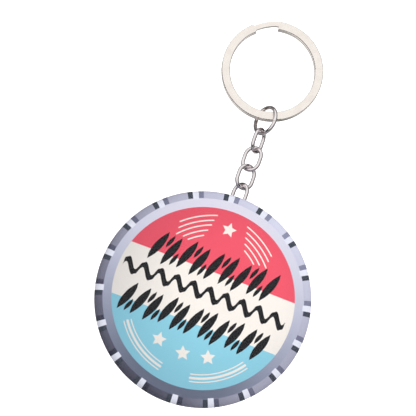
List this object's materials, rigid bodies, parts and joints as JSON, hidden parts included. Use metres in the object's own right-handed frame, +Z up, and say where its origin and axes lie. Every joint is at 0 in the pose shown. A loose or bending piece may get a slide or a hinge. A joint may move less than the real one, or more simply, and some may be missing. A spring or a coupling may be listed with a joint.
{
  "type": "keychain bottle opener",
  "caption": "Round printed tin badge with a bottle opener in its back, hung by a short wire chain from a flat-wire split ring for keys.",
  "frame": {"origin": "the hook point: where the inside of the split ring rests on whatever it hangs from", "axes": "+Z up along the hanging chain, +X to the right across the printed face, +Y from the printed face towards the opener at the back"},
  "size_m": [0.058, 0.0113, 0.109],
  "materials": {
    "ring_nickel": "bright nickel plate",
    "wire_nickel": "bright nickel plate",
    "clear_film": "clear satin polyester film",
    "printed_paper": "printed coated paper",
    "tinplate": "plain tinplate",
    "cup_steel": "satin nickel plate on pressed steel",
    "plate_steel": "nickel plate on steel, satin from tumbling",
    "rivet_steel": "bright nickel plate"
  },
  "bodies": {
    "split_ring": {"split_ring": "ring_nickel"},
    "jump_ring": {"jump_ring": "wire_nickel"},
    "chain_link_1": {"chain_link_1": "wire_nickel"},
    "chain_link_2": {"chain_link_2": "wire_nickel"},
    "chain_link_3": {"chain_link_3": "wire_nickel"},
    "chain_link_4": {"chain_link_4": "wire_nickel"},
    "badge": {"clear_film": "clear_film", "printed_disc": "printed_paper", "front_shell": "tinplate", "back_cup": "cup_steel", "opener_plate": "plate_steel", "rivet_1": "rivet_steel", "rivet_2": "rivet_steel", "rivet_3": "rivet_steel", "rivet_4": "rivet_steel"}
  },
  "joints": [
    {"name": "jump_ring_swing", "type": "hinge", "parent": "split_ring", "child": "jump_ring", "pos_m": [0.00024, 0, -0.02399], "axis": [0.977, 0, 0.213], "range_deg": [-90, 90]},
    {"name": "link_1_swing", "type": "hinge", "parent": "jump_ring", "child": "chain_link_1", "pos_m": [0.00024, 0, -0.02901], "axis": [0.6157, -0.788, 0], "range_deg": [-90, 90]},
    {"name": "link_2_swing", "type": "hinge", "parent": "chain_link_1", "child": "chain_link_2", "pos_m": [0.00024, 0, -0.03436], "axis": [0.5, 0.866, 0], "range_deg": [-90, 90]},
    {"name": "link_3_swing", "type": "hinge", "parent": "chain_link_2", "child": "chain_link_3", "pos_m": [0.00024, 0, -0.03971], "axis": [-0.866, 0.5, 0], "range_deg": [-90, 90]},
    {"name": "link_4_swing", "type": "hinge", "parent": "chain_link_3", "child": "chain_link_4", "pos_m": [0.00024, 0, -0.04506], "axis": [-0.866, -0.5, 0], "range_deg": [-90, 90]},
    {"name": "badge_swing", "type": "hinge", "parent": "chain_link_4", "child": "badge", "pos_m": [0.00024, 0, -0.04896], "axis": [1, 0, 0], "range_deg": [-35, 90]}
  ]
}
